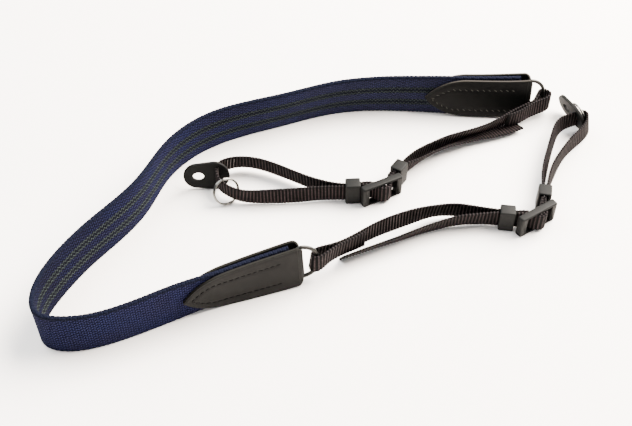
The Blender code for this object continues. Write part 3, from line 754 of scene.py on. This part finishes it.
FRONT_LOOP = (
    (120.0, 11.5, 6.5, -7),
    (127.0, 37.0, 6.8, -12),
    (131.5, 49.5, 7.7, -12),
    (139.0, 61.6, 8.1, -7),
    (144.8, 64.2, 8.4, -1),
    (147.5, 65.4, 8.4, 0),
    (150.3, 66.6, 8.4, 1),
    (152.4, 65.6, 8.4, 6),
    (153.1, 62.0, 8.3, 11),
    (150.5, 55.8, 8.1, 11),
    (142.3, 46.5, 7.8, 7),
    (135.0, 37.5, 7.3, 4),
    (128.0, 25.5, 6.5, 9),
)
FRONT_TAIL = (
    (84.5, -10.0, 6.4, -11),
    (73.5, -11.0, 6.2, -15),
    (62.5, -13.5, 5.2, -20),
    (52.0, -17.5, 4.9, -24),
    (42.0, -22.0, 4.7, -28),
    (31.5, -26.5, 4.6, -31),
    (21.5, -31.0, 4.6, -33),
    (12.6, -35.1, 4.5, -35),
)
BACK_FROM_RING = (
    (107.1, 63.4, 8.3, 12),
    (114.7, 66.5, 8.5, 3),
    (123.3, 72.4, 8.9, 0),
    (129.0, 75.3, 9.2, -2),
    (132.3, 77.3, 9.4, -1),
    (134.1, 80.3, 9.5, 0),
    (131.5, 83.9, 9.6, -4),
    (127.5, 82.9, 10.0, -9),
    (125.2, 78.4, 10.2, -19),
    (122.3, 74.6, 9.4, -12),
    (113.5, 69.5, 8.0, -8),
    (104.0, 63.5, 7.5, -15),
    (94.0, 58.1, 7.3, -24),
    (84.0, 53.7, 7.2, -24),
    (73.5, 49.0, 7.0, -17),
    (63.5, 43.4, 6.6, -13),
    (54.5, 37.0, 6.5, -10),
    (48.0, 30.0, 6.4, -7),
)
BACK_LOOP = (
    (1.5, 14.0, 6.5, -5),
    (-5.0, 17.0, 6.7, -9),
    (-23.0, 26.5, 7.0, -9),
    (-31.0, 29.5, 7.4, -11),
    (-42.5, 30.5, 7.8, -13),
    (-48.5, 28.3, 8.1, -9),
    (-51.6, 25.5, 8.2, -4),
    (-52.8, 21.9, 8.2, 0),
    (-52.8, 18.0, 8.2, 0),
    (-51.3, 14.0, 8.0, 3),
    (-46.4, 9.2, 7.5, 9),
    (-38.0, 6.4, 6.3, 8),
    (-33.0, 6.3, 5.8, 5),
    (-24.5, 6.5, 5.7, 0),
    (-7.5, 7.5, 6.0, -2),
    (3.0, 8.4, 6.3, 0),
)
BACK_TAIL = (
    (47.2, 25.6, 6.3, 4),
    (50.9, 29.2, 5.9, 17),
    (59.8, 37.2, 4.9, 33),
    (68.0, 43.6, 4.4, 41),
    (74.5, 48.0, 4.0, 49),
    (81.0, 51.7, 3.3, 58),
    (87.6, 55.3, 2.8, 64),
    (94.3, 57.9, 2.5, 70),
    (101.2, 60.3, 2.2, 73),
    (108.0, 62.8, 2.2, 73),
    (115.3, 66.3, 2.2, 73),
)
FRONT_WEAVE = Weave(
    x=114.2,
    y=-9.1,
    bearing=33.4,
    before=((98.2, -9.5), (103.0, -9.9), (107.1, -9.75), (110.3, -10.7)),
    after=((117.6, -3.0), (119.5, 4.9)),
    turn_from=-22,
    turn_to=85,
)
BACK_WEAVE = Weave(
    x=35.4,
    y=11.0,
    bearing=27.4,
    before=((19.4, 9.9), (24.0, 10.7), (28.2, 11.1), (31.0, 10.2)),
    after=((38.7, 13.5), (39.3, 17.0), (41.2, 19.9), (44.4, 23.2)),
    turn_from=-28,
    turn_to=83,
)


def arc_points(x, y, radius, start, end, step):
    """Points of an arc round x, y, from the start angle to the end angle in degrees."""
    count = max(2, round(abs(end - start) / step) + 1)
    angles = np.radians(np.linspace(start, end, count))
    return [(x + radius * math.cos(a), y + radius * math.sin(a)) for a in angles]


def layer_rows(weave, side):
    """One layer of the strip from keeper to keeper: in behind the frame, over the bar, out again."""
    bearing = math.radians(weave.bearing)
    bar_x = weave.x + BUCKLE_BAR_FORWARD * math.sin(bearing)
    bar_y = weave.y - BUCKLE_BAR_FORWARD * math.cos(bearing)
    half_pitch = (STRIP_THICKNESS + TOUCH_GAP) / 2
    reach = BUCKLE_BAR / 2 + TOUCH_GAP + STRIP_THICKNESS / 2 + half_pitch
    turn = arc_points(bar_x, bar_y, reach, weave.turn_from - 90, weave.turn_to - 90, 15)
    route = Route([(x, y, WEAVE_HEIGHT, 0) for x, y in [*weave.before, *turn, *weave.after]])
    middle, _, _, across = route.frames(np.linspace(0, route.length, round(route.length / 1.6)))
    return [(*point, 0) for point in middle + side * half_pitch * across]


def strip_relief(u, v, section):
    """Ribs across the strip, that stand out like the turns of a rope along its edges."""
    rib = np.abs(np.sin(np.pi * u / RIB_PITCH)) ** 0.7
    edge = np.abs(section[None, :, 4])
    return (0.22 + 0.12 * edge) * (rib - 0.75) + 0.1 * edge


def strip_cloth(length, seal_and_shade_length, painted_light_rib, beyond):
    """Ribbed webbing: brown-grey ribs, black grooves, and ends that a flame has sealed. Painted light
    makes the ribs paler for a stretch near the ring, and the back strip's black sewn end runs on as
    painted shade.
    """
    material, tree, shader = new_material("ribbed_webbing", 0.85, 0.06)
    surface, u, v = surface_map(tree)
    rib = maths(tree, "ABSOLUTE", maths(tree, "SINE", maths(tree, "MULTIPLY", u, math.pi / RIB_PITCH)))
    rib = node(tree, "ShaderNodeMapRange", (rib, 0.72, 0.99)).outputs[0]
    flat = STRIP_WIDTH - 2 * STRIP_CORNER
    edge = STRIP_THICKNESS - 2 * STRIP_CORNER + STRIP_CORNER * math.pi
    face = mask_between(tree, maths(tree, "FLOORED_MODULO", v, flat + edge), 0.5, flat - 0.5, 0.3)
    yarn = speckle(tree, surface, 1.5, 3.0)
    patches = speckle(tree, surface, 0.12, 2.0)
    strands = maths(tree, "ABSOLUTE", maths(tree, "SINE", maths(tree, "MULTIPLY", v, math.pi / 0.6)))
    light = maths(tree, "MULTIPLY", rib, maths(tree, "MULTIPLY_ADD", yarn, 1.7, 0.0))
    light = maths(tree, "MULTIPLY", light, maths(tree, "MULTIPLY_ADD", strands, 0.35, 0.65))
    light = maths(tree, "MULTIPLY", light, maths(tree, "MULTIPLY_ADD", patches, 1.2, 0.35))
    # Painted light: the ribs take the paler colour over the stretch near the ring
    rib_colour = mix_colour(tree, mask_between(tree, u, *PAINTED_LIGHT_STRETCH), beyond, painted_light_rib)
    ground = mix_colour(tree, light, GROOVE, rib_colour)
    border = mix_colour(tree, light, GROOVE, (0.0230, 0.0180, 0.0185))
    colour = mix_colour(tree, face, border, ground)
    # Black where a flame sealed the ends; at the back strip's sewn end the black runs further, as painted
    # shade where the flap's end meets the strip
    sewn_end = mask_between(tree, u, -5.0, seal_and_shade_length, 0.15)
    free_end = mask_between(tree, u, length - 0.7, length + 5, 0.15)
    burnt_and_shaded = maths(tree, "MAXIMUM", sewn_end, free_end)
    colour = mix_colour(tree, burnt_and_shaded, colour, (0.0006, 0.0004, 0.0004))
    tree.links.new(colour, shader.inputs["Base Color"])
    press(tree, shader, maths(tree, "ADD", light, maths(tree, "MULTIPLY", strands, 0.4)), 0.5, 0.2)
    return material


front_rows = [
    *FRONT_FROM_RING,
    *layer_rows(FRONT_WEAVE, -1),
    *FRONT_LOOP,
    *layer_rows(FRONT_WEAVE, 1)[::-1],
    *FRONT_TAIL,
]
back_rows = [
    *BACK_FROM_RING,
    *layer_rows(BACK_WEAVE, -1)[::-1],
    *BACK_LOOP,
    *layer_rows(BACK_WEAVE, 1),
    *BACK_TAIL,
]
strip_routes = {}
# Per strip: the length of its black sewn end, partly painted shade on the back strip, and its rib colours
# in the painted light near the ring and beyond
for side, rows, seal_and_shade_length, painted_light_rib, beyond in (
    ("front", front_rows, 0.7, (0.052, 0.0390, 0.0390), (0.027, 0.0196, 0.0202)),
    ("back", back_rows, 2.2, (0.052, 0.0380, 0.0390), (0.036, 0.0250, 0.0260)),
):
    route = strip_routes[side] = Route(rows)
    stations = np.arange(0, route.length, STRIP_STEP)
    middle, travel, up, across = route.frames(stations)
    strip = lay_band(
        f"strip_{side}",
        (middle, stations, up, across),
        np.full(len(stations), STRIP_WIDTH / 2),
        band_section(STRIP_THICKNESS, STRIP_CORNER, face_count=12, arc_count=3),
        STRIP_CORNER,
        strip_relief,
    )
    strip.data.materials.append(strip_cloth(float(stations[-1]), seal_and_shade_length, painted_light_rib, beyond))
    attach(strip, "root")
    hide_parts(f"adjuster_strip_{side}")

# The back loop is marked with three columns of pale stitches, near the protector
thread = bmesh.new()
route = strip_routes["back"]
middle, travel, up, across = route.frames(np.arange(0, route.length, 0.1))
for x in LOOP_STITCH_COLUMNS:
    here = int(np.argmin(np.where(middle[:, 1] > 24, abs(middle[:, 0] - x), 99)))
    for height in np.arange(-3.7, 3.8, LOOP_STITCH_PITCH):
        for face in (-1, 1):
            point = middle[here] + up[here] * height + across[here] * face * (STRIP_THICKNESS / 2 + 0.02)
            add_stitch(thread, point, up[here], across[here] * face, LOOP_STITCH)
finish_stitches("loop_stitches", thread, waxed_thread("pale_thread", (0.26, 0.23, 0.22)))


# KEEPERS
# Short sleeves of matte dark moulded plastic, rounded on the outside, two to a strip.
# Each holds two layers of the strip together, one sleeve on either side of the buckle.
KEEPER_LENGTH = 7.9
KEEPER_DEPTH = 7.0
KEEPER_HEIGHT = 13.0
KEEPER_WALL = 1.6
KEEPER_ROOF = 1.15
KEEPER_CORNER = 0.8
MOULDED_LIP = 0.05
MOULDED_EDGE = 0.25
KEEPERS = {
    "front_1": Place(98.2, -9.5, 6.5, -8, 0),
    "front_2": Place(119.5, 4.9, 6.5, 79, 0),
    "back_1": Place(44.4, 23.2, 6.5, 56, 0),
    "back_2": Place(19.4, 9.9, 6.5, 4, 0),
}


def moulded_ring(name, size, open_axis, corner, wall, place):
    """A block with rounded edges, hollowed through along one axis; its wall is given for each axis."""
    block = bmesh.new()
    worn = block.verts.layers.float.new("worn")
    bmesh.ops.create_cube(block, size=1, matrix=Matrix.Diagonal((*size, 1)))
    edges = block.edges[:]
    rounded = bmesh.ops.bevel(
        block, geom=edges, offset=corner, affect="EDGES", segments=4, profile=0.5, material=-1
    )
    turned = set(rounded["faces"])
    for vert in block.verts:
        vert[worn] = float(all(face in turned for face in vert.link_faces))
    ends = [face for face in block.faces if abs(face.normal[open_axis]) > 0.999]
    bmesh.ops.inset_region(block, faces=ends, thickness=MOULDED_LIP, use_even_offset=True)
    stretch = [(size[k] / 2 - wall[k]) / (size[k] / 2 - corner - MOULDED_LIP) for k in range(3)]
    stretch[open_axis] = 1
    bmesh.ops.scale(block, vec=stretch, verts=list({vert for face in ends for vert in face.verts}))
    edges = list({edge for face in ends for edge in face.edges})
    bmesh.ops.delete(block, geom=ends, context="FACES_ONLY")
    bmesh.ops.bridge_loops(block, edges=edges)
    bmesh.ops.recalc_face_normals(block, faces=block.faces)
    sharp = [edge for edge in block.edges if edge.calc_face_angle(0) > math.radians(50)]
    bmesh.ops.bevel(
        block, geom=sharp, offset=MOULDED_EDGE, affect="EDGES", segments=3, profile=0.5, material=-1
    )
    for face in block.faces:
        face.smooth = True
    bmesh.ops.transform(block, matrix=standing_at(place), verts=block.verts)
    return show(name, to_mesh(name, block))


def moulded_plastic(name, colour, roughness):
    """Matte moulded plastic with a fine grain, paler and smoother along its worn edges."""
    material, tree, shader = new_material(name, roughness, 0.10)
    place = node(tree, "ShaderNodeTexCoord").outputs["Object"]
    grain = speckle(tree, place, 3200, 2.0, flat=False)
    cloud = place_group(tree, mottle, place, Size=130, Contrast=1.8)[0]
    tone = mix_colour(tree, cloud, tuple(c * 0.75 for c in colour), tuple(c * 1.2 for c in colour))
    paler_share = node(tree, "ShaderNodeAttribute", attribute_name="worn").outputs["Fac"]
    paler_share = maths(tree, "MULTIPLY", paler_share, maths(tree, "MULTIPLY_ADD", cloud, 0.8, 0.1))
    tone = mix_colour(tree, paler_share, tone, tuple(c * 2.6 for c in colour))
    tree.links.new(tone, shader.inputs["Base Color"])
    rough = maths(tree, "MULTIPLY_ADD", paler_share, -0.15, roughness)
    tree.links.new(maths(tree, "MULTIPLY_ADD", cloud, 0.1, rough), shader.inputs["Roughness"])
    press(tree, shader, grain, 0.35, 0.1)
    return material


plastic = moulded_plastic("matte_moulded_plastic", (0.0022, 0.0023, 0.0021), 0.55)
for name, place in KEEPERS.items():
    size = (KEEPER_LENGTH, KEEPER_DEPTH, KEEPER_HEIGHT)
    wall = (0, KEEPER_WALL, KEEPER_ROOF)
    keeper = moulded_ring(f"sleeve_{name}", size, 0, KEEPER_CORNER, wall, place)
    keeper.data.materials.append(plastic)
    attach(keeper, "root")
    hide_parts(f"keeper_{name}")


# BUCKLES
# A frame of the same moulded plastic on each strip, with one window and a round bar down the middle.
# Both layers of the strip are woven over the bar, which holds them where they are pulled to.
BUCKLE_LENGTH = 23.6
BUCKLE_BACKSET = 0.9
BUCKLE_DEPTH = 4.3
BUCKLE_HEIGHT = 12.9
BUCKLE_STILE = 3.4
BUCKLE_RAIL = 1.15
BUCKLE_MIDDLE = 6.45
BUCKLE_CORNER = 0.95
for side, weave in (("front", FRONT_WEAVE), ("back", BACK_WEAVE)):
    bearing = math.radians(weave.bearing)
    x = weave.x - BUCKLE_BACKSET * math.cos(bearing)
    y = weave.y - BUCKLE_BACKSET * math.sin(bearing)
    place = Place(x, y, BUCKLE_MIDDLE, weave.bearing, 0)
    size = (BUCKLE_LENGTH, BUCKLE_DEPTH, BUCKLE_HEIGHT)
    wall = (BUCKLE_STILE, 0, BUCKLE_RAIL)
    buckle = moulded_ring(f"frame_{side}", size, 1, BUCKLE_CORNER, wall, place)
    buckle.data.materials.append(plastic)
    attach(buckle, "root")
    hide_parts(f"buckle_{side}")
    rod = bmesh.new()
    bmesh.ops.create_cone(
        rod,
        cap_ends=True,
        segments=28,
        radius1=BUCKLE_BAR / 2,
        radius2=BUCKLE_BAR / 2,
        depth=BUCKLE_HEIGHT - BUCKLE_RAIL,
        matrix=Matrix.Translation((BUCKLE_BACKSET, -BUCKLE_BAR_FORWARD, 0)),
    )
    for face in rod.faces:
        face.smooth = len(face.verts) == 4
    bmesh.ops.transform(rod, matrix=standing_at(place), verts=rod.verts)
    rod_mesh = to_mesh(f"frame_{side}_bar", rod)
    rod_mesh.materials.append(plastic)
    bar = show(f"frame_{side}_bar", rod_mesh)
    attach(bar, "root")


# LUG PROTECTORS
# A flat matte black plate at each end, with a slightly oval hole for the camera's lug and a slit that
# the strip is threaded through. It keeps the split ring from rubbing the camera.
PROTECTOR_LENGTH = 24.6
PROTECTOR_THICKNESS = 1.8
PROTECTOR_SMALL_END = 7.3
PROTECTOR_LARGE_END = 8.3
PROTECTOR_RIM = 0.35
LUG_HOLE = 5.5
LUG_HOLE_OVAL = 1.1
LUG_HOLE_FROM_MIDDLE = 4.3
SLIT_LENGTH = 10.8
SLIT_WIDTH = 1.7
SLIT_FROM_MIDDLE = 5.9
PROTECTORS = {
    "front": Place(145.6, 71.0, 8.4, -67, -18),
    "back": Place(-58.4, 19.6, 8.3, 3, 12),
}
plate_leather = moulded_plastic("matte_black_plate", (0.0015, 0.0015, 0.0015), 0.6)
for side, place in PROTECTORS.items():
    small_x = PROTECTOR_SMALL_END - PROTECTOR_LENGTH / 2
    large_x = PROTECTOR_LENGTH / 2 - PROTECTOR_LARGE_END
    flare = math.degrees(math.asin((PROTECTOR_LARGE_END - PROTECTOR_SMALL_END) / (large_x - small_x)))
    outline = arc_points(small_x, 0, PROTECTOR_SMALL_END - PROTECTOR_RIM, 90 + flare, 270 - flare, 5)
    outline += arc_points(large_x, 0, PROTECTOR_LARGE_END - PROTECTOR_RIM, -90 - flare, 90 + flare, 5)
    hole = arc_points(0, 0, LUG_HOLE / 2 + PROTECTOR_RIM, 0, 354, 6)
    hole = [(LUG_HOLE_OVAL * x - LUG_HOLE_FROM_MIDDLE, y / LUG_HOLE_OVAL - 0.2) for x, y in hole]
    slit_end = (SLIT_LENGTH - SLIT_WIDTH) / 2
    slit = arc_points(SLIT_FROM_MIDDLE, slit_end, SLIT_WIDTH / 2 + PROTECTOR_RIM, 0, 180, 12)
    slit += arc_points(SLIT_FROM_MIDDLE, -slit_end, SLIT_WIDTH / 2 + PROTECTOR_RIM, 180, 360, 12)
    curve = bpy.data.curves.new(f"plate_{side}_outline", "CURVE")
    curve.dimensions = "2D"
    curve.fill_mode = "BOTH"
    curve.extrude = PROTECTOR_THICKNESS / 2 - PROTECTOR_RIM
    curve.bevel_depth = PROTECTOR_RIM
    curve.bevel_resolution = 3
    for loop in (outline, hole, slit):
        spline = curve.splines.new("POLY")
        spline.points.add(len(loop) - 1)
        for point, (x, y) in zip(spline.points, loop):
            point.co = (x, y, 0, 1)
        spline.use_cyclic_u = True
    drawn = show(f"plate_{side}_outline", curve)
    mesh = bpy.data.meshes.new_from_object(drawn.evaluated_get(bpy.context.evaluated_depsgraph_get()))
    bpy.data.objects.remove(drawn)
    skin = bmesh.new()
    skin.from_mesh(mesh)
    worn = skin.verts.layers.float.new("worn")
    bmesh.ops.remove_doubles(skin, verts=skin.verts, dist=0.001)
    bmesh.ops.recalc_face_normals(skin, faces=skin.faces)
    for vert in skin.verts:
        vert[worn] = 1.0 if abs(vert.co.z) < PROTECTOR_THICKNESS / 2 - 0.01 else 0.0
    for face in skin.faces:
        face.smooth = abs(face.normal.z) < 0.99
    upright = Matrix.Rotation(math.radians(90), 4, "X")
    bmesh.ops.transform(skin, matrix=standing_at(place) @ upright, verts=skin.verts)
    skin.to_mesh(mesh)
    skin.free()
    mesh.materials.clear()
    mesh.materials.append(plate_leather)
    plate = show(f"plate_{side}", mesh)
    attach(plate, "root")
    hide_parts(f"lug_protector_{side}")


# SPLIT RINGS
# Bright nickel-plated spring wire in two turns that lie side by side.
# The loop of the strip passes through each, and the camera's lug is threaded on it.
SPLIT_RING_RADIUS = 6.95
SPLIT_RING_WIRE = 0.95
TURN_STEP = 5
RING_ROLL = 70
RING_TURNS = ((330, 0.0), (45, SPLIT_RING_WIRE + 0.15), (330, 0.0))  # degrees, and the way across in mm
SPLIT_RINGS = {
    "front": Place(148.9, 68.6, 8.1, -67, -18),
    "back": Place(-47.3, 8.9, 7.0, 32, 24),
}
nickel = plated_metal("bright_nickel", (0.17, 0.165, 0.150), 0.16, 0.08)
for side, place in SPLIT_RINGS.items():
    coil = bmesh.new()
    end = Matrix.Translation((SPLIT_RING_RADIUS, -SPLIT_RING_WIRE / 2, 0))
    start = bmesh.ops.create_circle(
        coil, cap_ends=False, segments=14, radius=SPLIT_RING_WIRE / 2, matrix=end
    )
    grown = list({edge for vert in start["verts"] for edge in vert.link_edges}) + start["verts"]
    for degrees, climb in RING_TURNS:
        steps = degrees // TURN_STEP
        grown = bmesh.ops.spin(
            coil,
            geom=grown,
            cent=(0, 0, 0),
            axis=(0, 1, 0),
            dvec=(0, climb / steps, 0),
            angle=math.radians(degrees),
            steps=steps,
            use_merge=False,
            use_duplicate=False,
        )["geom_last"]
    bmesh.ops.remove_doubles(coil, verts=coil.verts, dist=0.0001)
    bmesh.ops.holes_fill(coil, edges=[e for e in coil.edges if e.is_boundary], sides=0)
    bmesh.ops.recalc_face_normals(coil, faces=coil.faces)
    for face in coil.faces:
        face.smooth = len(face.verts) == 4
    rolled = Matrix.Rotation(math.radians(RING_ROLL), 4, "Y")
    bmesh.ops.transform(coil, matrix=standing_at(place) @ rolled, verts=coil.verts)
    mesh = to_mesh(f"key_ring_{side}", coil)
    mesh.materials.append(nickel)
    ring = show(f"key_ring_{side}", mesh)
    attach(ring, "root")
    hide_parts(f"split_ring_{side}")
